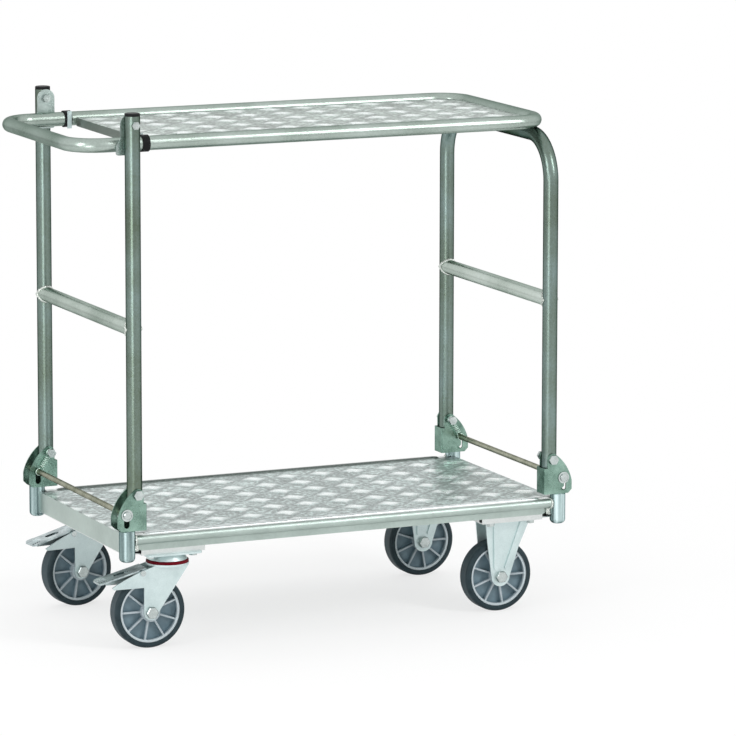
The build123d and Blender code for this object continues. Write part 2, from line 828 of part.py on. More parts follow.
with BuildPart() as seal_ring_front:
    with Locations(left_front):
        add(seal_ring.part)

with BuildPart() as seal_ring_rear:
    with Locations(left_rear):
        add(seal_ring.part)

# Swivel fork: a crown and two cheeks, each with an arm beside the brake pedal.
with BuildPart() as swivel_fork:
    with BuildSketch(side_view(0, 0, 0)):
        with BuildLine():
            ThreePointArc(
                (trail - cheek_foot_r, wheel_r),
                (trail, wheel_r - cheek_foot_r),
                (trail + cheek_foot_r, wheel_r),
            )
            Polyline(
                (trail + cheek_foot_r, wheel_r),
                (trail + cheek_foot_r, arm_low_z),
                (arm_reach - arm_tip_h, arm_low_z),
                (arm_reach, arm_low_z + arm_tip_h),
            )
            ThreePointArc(
                (arm_reach, arm_low_z + arm_tip_h),
                (
                    (arm_reach + crown_front) / 2 + arm_tip_h,
                    crown_z - crown_t - (crown_z - crown_t - arm_low_z) * arm_sag,
                ),
                (crown_front, crown_z - crown_t),
            )
            Polyline(
                (crown_front, crown_z - crown_t),
                (crown_front, crown_z),
                (-crown_front, crown_z),
                (-crown_front, crown_z - crown_t),
                (trail - cheek_foot_r, wheel_r),
            )
        make_face()
    extrude(amount=cheek_y, both=True)
    # the space for the wheel, up to the crown
    with BuildSketch(Plane.XY):
        Rectangle(2 * (arm_reach + crown_front), cheek_gap)
    extrude(amount=crown_z - crown_t, mode=Mode.SUBTRACT)
    round_bar(Plane.XY.offset(crown_z - crown_t), crown_d, crown_t)
    cut_bore(Plane.XY.offset(crown_z), king_d + 2 * run_fit, 2 * crown_t)
    cut_bore(across(trail, 0, wheel_r, 1), axle_d + 2 * run_fit, cheek_y)
    cut_bore(across(pedal_pin_u, 0, pedal_pin_z, 1), pedal_pin_d + 2 * run_fit, cheek_y)

with BuildPart() as swivel_fork_front:
    with Locations(left_front):
        add(swivel_fork.part)

with BuildPart() as swivel_fork_rear:
    with Locations(left_rear):
        add(swivel_fork.part)

# Brake pedal: a pressed plate that lies between the cheeks and widens to a
# ribbed toe beyond them, with two tabs that turn on a pin.
pedal_rake = (pedal_heel_z - pedal_toe_z) / (pedal_toe_u - pedal_heel_u)
toe_start = pedal_toe_u - toe_len
with BuildPart() as brake_pedal:
    with BuildSketch(side_view(0, 0, 0)):
        with BuildLine():
            Polyline(
                (pedal_heel_u, pedal_heel_z),
                (pedal_toe_u, pedal_toe_z),
                (pedal_toe_u, pedal_toe_z - pedal_t),
                (pedal_heel_u, pedal_heel_z - pedal_t),
                close=True,
            )
        make_face()
    extrude(amount=toe_w / 2, both=True)
    # ribs across the toe
    with BuildSketch(side_view(0, 0, 0)):
        for i in range(toe_ribs):
            rib_u = toe_start + toe_len * (i + 0.7) / (toe_ribs + 0.4)
            with Locations((rib_u, pedal_toe_z + (pedal_toe_u - rib_u) * pedal_rake)):
                Circle(toe_rib / 2)
    extrude(amount=toe_w / 2 - toe_round, both=True)
    # the plan: narrow between the cheeks, a round-cornered toe, an oblong hole
    with BuildSketch(Plane.XY.offset(pedal_toe_z - 2 * pedal_t)) as plan:
        with BuildLine():
            Polyline(
                (pedal_heel_u, -tab_y),
                (toe_start, -tab_y),
                (toe_start, -toe_w / 2),
                (pedal_toe_u, -toe_w / 2),
                (pedal_toe_u, toe_w / 2),
                (toe_start, toe_w / 2),
                (toe_start, tab_y),
                (pedal_heel_u, tab_y),
                close=True,
            )
        make_face()
        fillet(plan.vertices().group_by(Axis.X)[-1], toe_round)
        with Locations(((pedal_pin_u + toe_start) / 2 + tab_r / 2, 0)):
            SlotOverall(pedal_slot_l, pedal_slot_w, mode=Mode.SUBTRACT)
    extrude(amount=pedal_heel_z - pedal_toe_z + 4 * pedal_t, mode=Mode.INTERSECT)
    # tabs on the pin
    pin_top = pedal_heel_z - (pedal_pin_u - pedal_heel_u) * pedal_rake - pedal_pin_z
    for side in (-1, 1):
        with BuildSketch(side_view(pedal_pin_u, side * (tab_y - tab_t / 2), pedal_pin_z)):
            Circle(tab_r)
            with Locations((0, (pin_top - pedal_t / 2) / 2)):
                Rectangle(2 * tab_r, pin_top - pedal_t / 2)
        extrude(amount=tab_t / 2, both=True)
    cut_bore(across(pedal_pin_u, 0, pedal_pin_z, 1), pedal_pin_d + 2 * run_fit, cheek_y)

with BuildPart() as brake_pedal_front:
    with Locations(left_front):
        add(brake_pedal.part)

with BuildPart() as brake_pedal_rear:
    with Locations(left_rear):
        add(brake_pedal.part)

with BuildPart() as pedal_pin:
    round_bar(across(pedal_pin_u, -cheek_y, pedal_pin_z, 1), pedal_pin_d, 2 * cheek_y)
    for side in (-1, 1):
        round_bar(
            across(pedal_pin_u, side * cheek_y, pedal_pin_z, side),
            pedal_pin_head_d,
            pedal_pin_head,
        )

with BuildPart() as pedal_pin_front:
    with Locations(left_front):
        add(pedal_pin.part)

with BuildPart() as pedal_pin_rear:
    with Locations(left_rear):
        add(pedal_pin.part)

# Axle: a bolt through both cheeks with a nut on its far end.
with BuildPart() as axle:
    round_bar(across(0, -cheek_y, wheel_r, 1), axle_d, 2 * cheek_y)
    for side in (-1, 1):
        hex_bar(across(0, side * cheek_y, wheel_r, side), axle_head_af, axle_head_h)
    chamfer(axle.edges().group_by(Axis.Y)[0], axle_head_h / 8)
    chamfer(axle.edges().group_by(Axis.Y)[-1], axle_head_h / 8)

# Wheel centre: hub, thin web, spokes on both sides of it and an outer ring.
with BuildPart() as wheel_centre:
    with BuildSketch(Plane.XY):
        with BuildLine():
            Polyline(
                (axle_d / 2 + run_fit, -hub_w / 2),
                (hub_d / 2, -hub_w / 2),
                (hub_d / 2, -web_t / 2),
                (rim_r - rim_ring, -web_t / 2),
                (rim_r - rim_ring, -rim_w / 2),
                (rim_r, -rim_w / 2),
                (rim_r, rim_w / 2),
                (rim_r - rim_ring, rim_w / 2),
                (rim_r - rim_ring, web_t / 2),
                (hub_d / 2, web_t / 2),
                (hub_d / 2, hub_w / 2),
                (axle_d / 2 + run_fit, hub_w / 2),
                close=True,
            )
        make_face()
    revolve(axis=Axis.Y)
    with BuildSketch(Plane.XZ):
        with PolarLocations((hub_d / 2 + rim_r - rim_ring) / 2, spokes):
            Rectangle(rim_r - rim_ring - hub_d / 2 + rim_ring, spoke_t)
    extrude(amount=spoke_w / 2, both=True)

with BuildPart() as tyre:
    with BuildSketch(Plane.XY) as tyre_plan:
        with Locations(((rim_r + run_fit + wheel_r) / 2, 0)):
            Rectangle(wheel_r - rim_r - run_fit, wheel_w)
        fillet(tyre_plan.vertices().group_by(Axis.X)[-1], tyre_round)
    revolve(axis=Axis.Y)

hub_front_left = left_front * Location((trail, 0, 0))
hub_rear_left = left_rear * Location((trail, 0, 0))
hub_front_right = right_front * Location((-fixed_lead, 0, 0))
hub_rear_right = right_rear * Location((-fixed_lead, 0, 0))
lift = Location((0, 0, wheel_r))

with BuildPart() as axle_front_left:
    with Locations(hub_front_left):
        add(axle.part)

with BuildPart() as axle_rear_left:
    with Locations(hub_rear_left):
        add(axle.part)

with BuildPart() as axle_front_right:
    with Locations(hub_front_right):
        add(axle.part)

with BuildPart() as axle_rear_right:
    with Locations(hub_rear_right):
        add(axle.part)

with BuildPart() as wheel_front_left:
    with Locations(hub_front_left * lift):
        add(wheel_centre.part)

with BuildPart() as wheel_rear_left:
    with Locations(hub_rear_left * lift):
        add(wheel_centre.part)

with BuildPart() as wheel_front_right:
    with Locations(hub_front_right * lift):
        add(wheel_centre.part)

with BuildPart() as wheel_rear_right:
    with Locations(hub_rear_right * lift):
        add(wheel_centre.part)

with BuildPart() as tyre_front_left:
    with Locations(hub_front_left * lift):
        add(tyre.part)

with BuildPart() as tyre_rear_left:
    with Locations(hub_rear_left * lift):
        add(tyre.part)

with BuildPart() as tyre_front_right:
    with Locations(hub_front_right * lift):
        add(tyre.part)

with BuildPart() as tyre_rear_right:
    with Locations(hub_rear_right * lift):
        add(tyre.part)

# Fixed fork: a plate and two cheeks that narrow towards the axle, which lies a
# little behind the middle of the plate.
with BuildPart() as fixed_fork:
    with BuildSketch(side_view(-fixed_lead, 0, 0)):
        with BuildLine():
            ThreePointArc(
                (-fixed_foot_r, wheel_r), (0, wheel_r - fixed_foot_r), (fixed_foot_r, wheel_r)
            )
            Polyline(
                (fixed_foot_r, wheel_r),
                (fixed_waist_lead + fixed_waist_w / 2, fixed_waist_z),
                (fixed_lead + fixed_top_w / 2, pad_z),
                (fixed_lead - fixed_top_w / 2, pad_z),
                (fixed_waist_lead - fixed_waist_w / 2, fixed_waist_z),
                (-fixed_foot_r, wheel_r),
            )
        make_face()
    extrude(amount=cheek_y, both=True)
    with BuildSketch(Plane.XY):
        Rectangle(2 * fixed_top_w, cheek_gap)
    extrude(amount=pad_z, mode=Mode.SUBTRACT)
    # two pressed ribs down the outside of each cheek
    for side in (-1, 1):
        for rib in (-1, 1):
            top = (fixed_lead + rib * fixed_rib_top, -side * (pad_z - fixed_rib_w))
            low = (rib * fixed_rib_low, -side * (wheel_r + fixed_rib_above))
            with BuildSketch(across(-fixed_lead, side * cheek_y, 0, side)) as rib_outline:
                with BuildLine():
                    rib_line = Line(low, top)
                SlotCenterPoint(rib_line @ 0.5, top, fixed_rib_w)
            extrude(rib_outline.sketch, amount=fixed_rib_h, taper=50)
    with BuildSketch(Plane.XY.offset(pad_z)):
        RectangleRounded(pad_x, pad_y, pad_corner)
        with GridLocations(pad_bolt_x, fixed_bolt_y, 2, 2):
            Circle(pad_bolt_d / 2 + slip_gap, mode=Mode.SUBTRACT)
    extrude(amount=pad_t)
    cut_bore(across(-fixed_lead, 0, wheel_r, 1), axle_d + 2 * run_fit, cheek_y)

with BuildPart() as fixed_fork_front:
    with Locations(right_front):
        add(fixed_fork.part)

with BuildPart() as fixed_fork_rear:
    with Locations(right_rear):
        add(fixed_fork.part)

# Bolts that hold the caster plates to the channels.
with BuildPart() as pad_bolt:
    hex_bar(Plane.XY.offset(pad_z - pad_bolt_head), pad_bolt_af, pad_bolt_head)
    round_bar(Plane.XY.offset(pad_z), pad_bolt_d, pad_t + channel_t + pad_bolt_nut)
    hex_bar(Plane.XY.offset(channel_z + channel_t), pad_bolt_af, pad_bolt_nut)

with BuildPart() as caster_bolts:
    with Locations(front_axis, rear_axis):
        with GridLocations(pad_bolt_x, swivel_bolt_y, 2, 2):
            add(pad_bolt.part)
    with Locations(right_front, right_rear):
        with GridLocations(pad_bolt_x, fixed_bolt_y, 2, 2):
            add(pad_bolt.part)

pieces = {
    "deck_panel": deck_panel,
    "end_channel_left": end_channel_left,
    "end_channel_right": end_channel_right,
    "corner_stub_front_left": stub_front_left,
    "corner_stub_rear_left": stub_rear_left,
    "corner_stub_front_right": stub_front_right,
    "corner_stub_rear_right": stub_rear_right,
    "hinge_bracket_front_left": bracket_front_left,
    "hinge_bracket_rear_left": bracket_rear_left,
    "hinge_bracket_front_right": bracket_front_right,
    "hinge_bracket_rear_right": bracket_rear_right,
    "hinge_bolts": hinge_bolts,
    "release_rod_left": release_rod_left,
    "release_rod_right": release_rod_right,
    "rod_caps_left": rod_caps_left,
    "rod_caps_right": rod_caps_right,
    "release_springs_left": springs_left,
    "release_springs_right": springs_right,
    "left_post_front": left_post_front,
    "left_post_rear": left_post_rear,
    "left_crossbar": left_crossbar,
    "left_post_caps": post_caps,
    "left_foot_caps": left_foot_caps,
    "shelf_pivot_bolts": shelf_bolts,
    "shelf_loop": shelf_loop,
    "shelf_sheet": shelf_sheet,
    "shelf_strut": shelf_strut,
    "shelf_ear_front": ear_front,
    "shelf_ear_rear": ear_rear,
    "shelf_collars": collars,
    "shelf_collar_clips": collar_clips,
    "bow_tube": bow_tube,
    "bow_crossbar": bow_crossbar,
    "bow_foot_caps": bow_foot_caps,
    "caster_plate_front": caster_plate_front,
    "caster_plate_rear": caster_plate_rear,
    "king_pins": king_pins,
    "seal_ring_front": seal_ring_front,
    "seal_ring_rear": seal_ring_rear,
    "swivel_fork_front": swivel_fork_front,
    "swivel_fork_rear": swivel_fork_rear,
    "brake_pedal_front": brake_pedal_front,
    "brake_pedal_rear": brake_pedal_rear,
    "pedal_pin_front": pedal_pin_front,
    "pedal_pin_rear": pedal_pin_rear,
    "axle_front_left": axle_front_left,
    "axle_rear_left": axle_rear_left,
    "axle_front_right": axle_front_right,
    "axle_rear_right": axle_rear_right,
    "wheel_front_left": wheel_front_left,
    "wheel_rear_left": wheel_rear_left,
    "wheel_front_right": wheel_front_right,
    "wheel_rear_right": wheel_rear_right,
    "tyre_front_left": tyre_front_left,
    "tyre_rear_left": tyre_rear_left,
    "tyre_front_right": tyre_front_right,
    "tyre_rear_right": tyre_rear_right,
    "fixed_fork_front": fixed_fork_front,
    "fixed_fork_rear": fixed_fork_rear,
    "caster_bolts": caster_bolts,
}
for name, piece in pieces.items():
    piece.part.label = name
    export_step(piece.part, f"parts/{name}.step")
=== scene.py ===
# %% [markdown]
# # A folding table trolley
# The solids of the trolley are already modelled to size, so they are loaded first
# and stay where they are. This lesson gives every solid its finish, adds the fine
# detail that is too small for the solids, and sets up the camera and the light.
# All lengths are in metres, with Z up and the floor at zero.

# %% Load the solids
import bpy
import json
from math import cos, pi, sin
from mathutils import Matrix, Vector


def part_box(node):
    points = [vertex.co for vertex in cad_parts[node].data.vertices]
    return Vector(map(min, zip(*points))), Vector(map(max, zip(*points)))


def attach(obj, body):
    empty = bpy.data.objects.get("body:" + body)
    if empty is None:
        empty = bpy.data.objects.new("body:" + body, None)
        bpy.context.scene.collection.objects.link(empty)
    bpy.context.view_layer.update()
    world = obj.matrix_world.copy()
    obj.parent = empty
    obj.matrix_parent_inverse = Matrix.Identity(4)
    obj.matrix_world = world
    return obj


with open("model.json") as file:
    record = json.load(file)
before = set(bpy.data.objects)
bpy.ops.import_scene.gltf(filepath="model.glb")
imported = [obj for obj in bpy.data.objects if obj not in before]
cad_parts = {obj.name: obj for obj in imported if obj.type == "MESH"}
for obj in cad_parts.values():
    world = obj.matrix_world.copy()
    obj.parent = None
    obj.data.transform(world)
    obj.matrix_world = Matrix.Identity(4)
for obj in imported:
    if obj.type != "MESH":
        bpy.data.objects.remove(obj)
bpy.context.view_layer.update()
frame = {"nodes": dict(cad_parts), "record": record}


def add_object(name, data):
    thing = bpy.data.objects.new(name, data)
    bpy.context.collection.objects.link(thing)
    return thing


# %% [markdown]
# ## Camera
# A long lens far away keeps the posts almost parallel. The place, the direction and
# the lens come from fitting the trolley's own corners in a square picture. The small
# shift moves the picture without turning the camera, so the posts stay upright.

# %% Camera
PICTURE, FOCAL_PIXELS, SHIFT_PIXELS = 736, 5015.37, (-16.73, -53.16)
SENSOR = 36  # millimetres
CAMERA_PLACE = (-3.50796, -8.14728, 1.98869)
camera_data = bpy.data.cameras.new("camera")
camera = add_object("camera", camera_data)
heading, tilt, roll = -0.427842, -0.162118, 0.0020535
forward = Vector((-sin(heading) * cos(tilt), cos(heading) * cos(tilt), sin(tilt)))
level = Vector((cos(heading), sin(heading), 0))
upward = level.cross(forward)
right = level * cos(roll) + upward * sin(roll)
above = upward * cos(roll) - level * sin(roll)
camera.matrix_world = Matrix.Translation(CAMERA_PLACE) @ Matrix(
    (right, above, -forward)
).transposed().to_4x4()
camera_data.sensor_width = SENSOR
camera_data.lens = SENSOR * FOCAL_PIXELS / PICTURE
camera_data.shift_x = SHIFT_PIXELS[0] / PICTURE
camera_data.shift_y = SHIFT_PIXELS[1] / PICTURE
camera_data.clip_end = 60
bpy.context.scene.camera = camera
print("lens", round(camera_data.lens, 1), "mm")

# %% [markdown]
# ## A small language for shaders
# Every finish here is a Principled shader with a few patterns that drive it. A class
# that wraps a socket and has operators lets the maths read like maths: `far - 1.0`
# adds the node that does it. One method makes every other kind of node, so the same
# class serves the sky and the floor too.

# %% Shader helpers


class Value:
    """A socket whose value can be added, multiplied and so on."""

    def __init__(self, tree, socket):
        self.tree, self.socket = tree, socket

    def math(self, operation, first, second):
        node = self.tree.nodes.new("ShaderNodeMath")
        node.operation = operation
        for socket, item in zip(node.inputs, (first, second)):
            if isinstance(item, Value):
                self.tree.links.new(item.socket, socket)
            else:
                socket.default_value = item
        return Value(self.tree, node.outputs[0])

    def __add__(self, other):
        return self.math("ADD", self, other)

    def __sub__(self, other):
        return self.math("SUBTRACT", self, other)

    def __mul__(self, other):
        return self.math("MULTIPLY", self, other)

    def __truediv__(self, other):
        return self.math("DIVIDE", self, other)

    def __abs__(self):
        return self.math("ABSOLUTE", self, 0)


class Shader:
    """A node tree that makes nodes from a type, their settings and their sockets."""

    def __init__(self, tree):
        self.tree = tree

    def node(self, kind, settings=None, sockets=None, out=0):
        node = self.tree.nodes.new(kind)
        for key, item in (settings or {}).items():
            if key == "stops":
                ramp = node.color_ramp
                while len(ramp.elements) < len(item):
                    ramp.elements.new(1)
                for element, (position, colour) in zip(ramp.elements, item):
                    element.position, element.color = position, (*colour, 1)
            else:
                setattr(node, key, item)
        for key, item in (sockets or {}).items():
            self.feed(node.inputs[key], item)
        return Value(self.tree, node.outputs[out])

    def feed(self, socket, item):
        if isinstance(item, Value):
            self.tree.links.new(item.socket, socket)
        else:
            socket.default_value = item

    def light_path(self, ray):
        return self.node("ShaderNodeLightPath", out=ray)

    def mix_shader(self, factor, first, second):
        return self.node("ShaderNodeMixShader", None, {0: factor, 1: first, 2: second})

    def ramp(self, value, *stops):
        return self.node("ShaderNodeValToRGB", {"stops": stops}, {0: value})


print("shader helpers ready")

# %% [markdown]
# ## Light
# Bright metal is only as good as what it mirrors. An even white room would make the
# tubes flat, so the sky is bright above and falls off towards the floor, and soft
# lamps draw the long highlights. The camera and the mirrors see plain white there.
# The two strongest lamps only light the trolley and are hidden from mirrors, because
# the flat sheets would throw them straight back. A weaker one gives the gleam.

# %% Light
scene = bpy.context.scene
scene.view_settings.view_transform = "Standard"
world = bpy.data.worlds.new("studio")
scene.world = world
world.use_nodes = True
sky = Shader(world.node_tree)
direction = sky.node("ShaderNodeTexCoord", out="Generated")
height = sky.node("ShaderNodeSeparateXYZ", None, {0: direction}, out="Z")
sky_colour = sky.ramp(
    height * 0.5 + 0.5,
    (0.42, (0.20, 0.21, 0.21)),
    (0.56, (0.62, 0.65, 0.65)),
    (0.78, (1.0, 1.0, 1.0)),
)
sky_light = sky.node("ShaderNodeBackground", None, {"Color": sky_colour, "Strength": 0.62})
backdrop = sky.node("ShaderNodeBackground", None, {"Color": (1, 1, 1, 1), "Strength": 1.0})
mirrored = sky.light_path("Is Glossy Ray") + sky.light_path("Is Transmission Ray")
seen = sky.light_path("Is Camera Ray") + mirrored
sky.feed(
    world.node_tree.nodes["World Output"].inputs["Surface"],
    sky.mix_shader(seen, sky_light, backdrop),
)


def soft_lamp(name, place, aim_height, size, power):
    """A rectangular lamp that looks at a point above the middle of the floor."""
    data = bpy.data.lights.new(name, "AREA")
    data.shape = "RECTANGLE"
    data.size, data.size_y = size
    data.energy = power
    lamp = add_object(name, data)
    lamp.location = place
    towards = Vector((0, 0, aim_height)) - Vector(place)
    lamp.rotation_euler = towards.to_track_quat("-Z", "Y").to_euler()
    return lamp


key_lamp = soft_lamp("key_lamp", (2.2, -3.6, 3.0), aim_height=0.45, size=(1.0, 2.4), power=50)
soft_lamp("gleam_lamp", (2.1, -3.4, 2.9), aim_height=0.45, size=(1.0, 2.4), power=42)
top_lamp = soft_lamp("top_lamp", (-0.4, 0.9, 3.4), aim_height=0.4, size=(6.0, 4.0), power=80)
for lamp in (key_lamp, top_lamp):
    lamp.visible_glossy = False
soft_lamp("side_lamp", (-3.4, -1.6, 2.0), aim_height=0.5, size=(0.7, 2.2), power=30)
soft_lamp("strip_lamp", (-2.2, -2.4, 0.45), aim_height=0.5, size=(1.0, 0.85), power=10)

# %% [markdown]
# ## Floor
# The floor is a wide white sweep. For the camera most of its brightness is white of
# its own, and the rest is lit, so it still takes the trolley's soft shadow. Further
# away the white of its own takes over. Mirrors see a little of that white too.

# %% Floor
FLOOR_REACH = 14
SHADOW_NEAR, SHADOW_FAR = 0.5, 1.5
OWN_WHITE, MIRRORED_WHITE = 0.72, 0.30
floor_mesh = bpy.data.meshes.new("floor")
floor_mesh.from_pydata(
    [(x * FLOOR_REACH, y * FLOOR_REACH, 0) for x, y in ((-1, -1), (1, -1), (1, 1), (-1, 1))],
    [],
    [(0, 1, 2, 3)],
)
floor = add_object("floor", floor_mesh)
floor_paint = bpy.data.materials.new("floor_white")
floor_paint.use_nodes = True
paint = Shader(floor_paint.node_tree)
matt = floor_paint.node_tree.nodes["Principled BSDF"]
matt.inputs["Base Color"].default_value = (0.86, 0.86, 0.86, 1)
matt.inputs["Roughness"].default_value = 0.9
matt.inputs["Specular IOR Level"].default_value = 0.0
glow = paint.node("ShaderNodeEmission", None, {"Color": (1, 1, 1, 1), "Strength": 1.0})
mirrored = paint.light_path("Is Glossy Ray") + paint.light_path("Is Transmission Ray")
place = paint.node("ShaderNodeTexCoord", out="Object")
away = paint.node("ShaderNodeVectorMath", {"operation": "LENGTH"}, {0: place}, out=1)
own_white = paint.node(
    "ShaderNodeMapRange",
    None,
    {"Value": away, "From Min": SHADOW_NEAR, "From Max": SHADOW_FAR, "To Min": OWN_WHITE, "To Max": 1.0},
)
seen = paint.light_path("Is Camera Ray") * own_white + mirrored * MIRRORED_WHITE
paint.feed(
    floor_paint.node_tree.nodes["Material Output"].inputs["Surface"],
    paint.mix_shader(seen, Value(paint.tree, matt.outputs[0]), glow),
)
floor_mesh.materials.append(floor_paint)
print("floor reach:", FLOOR_REACH)

# %% [markdown]
# ## Finishes
# A finish is a material whose patterns sit on Object coordinates, so they stay on the
# solid when it moves. Noise at several scales gives clouds, grain and drawing marks.

# %% Finish helpers


class Finish(Shader):
    """A material whose shader is fed by patterns on Object coordinates."""

    def __init__(self, name):
        self.material = bpy.data.materials.new(name)
        self.material.use_nodes = True
        super().__init__(self.material.node_tree)
        self.shader = self.tree.nodes["Principled BSDF"]
        self.place = self.node("ShaderNodeTexCoord", out="Object")

    def set(self, **sockets):
        for key, item in sockets.items():
            self.feed(self.shader.inputs[key.replace("_", " ")], item)

    def noise(self, scale, detail=3, rough=0.5, place=None):
        return self.node(
            "ShaderNodeTexNoise",
            None,
            {"Vector": place or self.place, "Scale": scale, "Detail": detail, "Roughness": rough},
        )

    def stretched(self, x, y, z):
        return self.node(
            "ShaderNodeVectorMath", {"operation": "MULTIPLY"}, {0: self.place, 1: (x, y, z)}
        )

    def axes(self, place=None):
        place = place or self.place
        return [self.node("ShaderNodeSeparateXYZ", None, {0: place}, out=axis) for axis in range(3)]

    def between(self, value, low, high, start=0.0, end=1.0):
        return self.node(
            "ShaderNodeMapRange",
            {"clamp": True},
            {"Value": value, "From Min": low, "From Max": high, "To Min": start, "To Max": end},
        )

    def mix(self, factor, first, second):
        return self.node(
            "ShaderNodeMix", {"data_type": "RGBA"}, {0: factor, 6: first, 7: second}, out=2
        )

    def bump(self, height, distance, strength=1.0):
        return self.node(
            "ShaderNodeBump", None, {"Height": height, "Distance": distance, "Strength": strength}
        )


def rgb(red, green, blue):
    return (red, green, blue, 1)


print("finish helpers ready")

# %% [markdown]
# ## Plated tube
# The posts, the bow, the crossbars and the shelf's loop are drawn steel tube with a
# smooth zinc plate. The plate has a cloudy mottling with an olive cast, and fine marks
# from drawing. The same plate is painted in three tones: darker on the upright posts and
# the bow, as painted shade, and lighter on the loop and the crossbars, as painted light
# from the lamps above. Plated steel mirrors less at a glancing angle than silver does,
# which the specular tint says, so the edges of a tube stay dark. The corner stubs are the
# same tube, but they hang low, and noise drawn out along Z paints bright and dark upright
# bands into their colour, a painted reflection of the room, in place of the clouds.

# %% Plated tube


def plated_tube(name, dark, middle, light, edge, grain, reflection_bands=None):
    """Grain and the painted reflection bands say how finely a pattern changes along each axis."""
    plate = Finish(name)
    specks = plate.noise(260, detail=2)
    # With bands, the colour is a painted reflection: upright bright and dark bands stand in for the
    # mirrored room.
    if reflection_bands:
        clouds = plate.noise(1, detail=1, place=plate.stretched(*reflection_bands))
        tone = clouds * 0.92 + specks * 0.08
    else:
        clouds = plate.noise(9, detail=4)
        tone = clouds * 0.75 + specks * 0.25
    marks = plate.noise(1, detail=3, place=plate.stretched(*grain))
    plate.set(
        Base_Color=plate.ramp(tone, (0.30, dark), (0.52, middle), (0.72, light)),
        Metallic=1.0,
        Roughness=plate.between(clouds * 0.8 + marks * 0.2, 0.3, 0.7, 0.25, 0.32),
        Specular_Tint=edge,
        Normal=plate.bump(marks, 0.00001, 0.15),
    )
    return plate.material


# Painted shade: the posts and the bow take a darker copy of the plate.
post_tube = plated_tube(
    "post_tube",
    dark=(0.128, 0.165, 0.118),
    middle=(0.192, 0.252, 0.222),
    light=(0.258, 0.345, 0.345),
    edge=rgb(0.0, 0.0, 0.0),
    grain=(420, 420, 24),
)
# Painted light: the loop and the crossbars take lighter copies of the same plate.
loop_tube = plated_tube(
    "loop_tube",
    dark=(0.28, 0.34, 0.30),
    middle=(0.40, 0.47, 0.43),
    light=(0.52, 0.59, 0.56),
    edge=rgb(0.30, 0.35, 0.32),
    grain=(24, 420, 420),
)
cross_tube = plated_tube(
    "cross_tube",
    dark=(0.46, 0.53, 0.48),
    middle=(0.64, 0.71, 0.66),
    light=(0.78, 0.85, 0.81),
    edge=rgb(0.34, 0.39, 0.36),
    grain=(420, 24, 420),
)
# Painted reflection: the stubs' light and dark upright bands stand in for the room mirrored in them.
stub_tube = plated_tube(
    "stub_tube",
    dark=(0.12, 0.18, 0.18),
    middle=(0.42, 0.55, 0.55),
    light=(0.78, 0.94, 0.95),
    edge=rgb(0.10, 0.14, 0.14),
    grain=(420, 420, 24),
    reflection_bands=(160, 160, 3),
)
print("tube finishes:", post_tube.name, loop_tube.name, cross_tube.name, stub_tube.name)

# %% [markdown]
# ## Sheet with raised diamonds
# Both decks are bright sheet with rows of pressed diamonds. The middle of each diamond
# is painted near white, a painted glint, against the speckled grain around it, and a dark
# line round its outline is painted shade on its slopes. Beside each long edge a dark line
# is painted shade too. The pattern is a grid in X and Y: the distance to the middle of
# the nearest cell, counted along both axes and added, is constant on a diamond. Only the
# upper face has the pattern, so a mask on Z keeps the folded edges plain.

# %% Sheet finish
CELL_X, CELL_Y = 0.0668, 0.0612
DECK_MIDDLE, DECK_TOP, RIM_Y = (0.0165, -0.0260), 0.208, 0.2125
SHELF_MIDDLE, SHELF_TOP, SHELF_RIM_Y = (0.0410, 0.0190), 0.890, 0.1800
BOSS_HALF_X, BOSS_HALF_Y, BOSS_HEIGHT = 0.0310, 0.0280, 0.0018
SHADE_LINE_IN = 0.0080


def diamond_sheet(name, middle, top, rim_y, ground_tint, plain_dark, plain_light):
    """Far is 0 in the middle of a diamond and 1 on its outline, where the painted shade line is."""
    sheet = Finish(name)
    x, y, z = sheet.axes()
    steps = [
        sheet.node("ShaderNodeMath", {"operation": "PINGPONG"}, {0: axis - start, 1: cell / 2})
        for axis, start, cell in ((x, middle[0], CELL_X), (y, middle[1], CELL_Y))
    ]
    far = steps[0] / BOSS_HALF_X + steps[1] / BOSS_HALF_Y
    clouds = sheet.noise(14, detail=4)
    speckle = sheet.noise(120, detail=4, rough=0.65)
    upper = sheet.between(z, top - 0.0012, top - 0.0004)
    # Painted glint: the middle of each diamond is painted near white.
    painted_glint = sheet.between(far + (clouds - 0.5) * 0.6 + (speckle - 0.5) * 2.2, 0.92, 0.30)
    broken = sheet.between(speckle, 0.38, 0.58, 1.0, 0.3)
    # Painted shade: a dark line round each diamond stands in for its shaded slopes, broken up by the
    # speckle.
    outline_shade = sheet.between(abs(far - 1.0), 0.26, 0.02) * broken
    ground = sheet.ramp(
        clouds * 0.25 + speckle * 0.75,
        (0.40, tuple(0.27 * tint for tint in ground_tint)),
        (0.50, tuple(0.58 * tint for tint in ground_tint)),
        (0.60, ground_tint),
    )
    ground = sheet.mix(outline_shade * 0.8, ground, rgb(0.09, 0.12, 0.12))
    pattern = sheet.mix(painted_glint, ground, rgb(0.90, 0.96, 0.95))
    rim = sheet.between(abs(y), rim_y - SHADE_LINE_IN, rim_y - SHADE_LINE_IN + 0.0020)
    # Painted shade: a dark line on the sheet beside each long edge, where the rim shades it.
    rim_shade = sheet.between(abs(abs(y) - rim_y + SHADE_LINE_IN), 0.0050, 0.0020)
    pattern = sheet.mix(rim, pattern, rgb(0.78, 0.82, 0.81))
    pattern = sheet.mix(rim_shade * 0.85, pattern, rgb(0.13, 0.16, 0.15))
    plain = sheet.ramp(clouds * 0.6 + speckle * 0.4, (0.30, plain_dark), (0.70, plain_light))
    sheet.set(
        Base_Color=sheet.mix(upper, plain, pattern),
        Metallic=0.85,
        Roughness=sheet.between(speckle - painted_glint * upper * 0.35, 0.0, 0.7, 0.24, 0.44),
        Normal=sheet.bump(speckle, 0.00025, 0.6),
    )
    return sheet.material


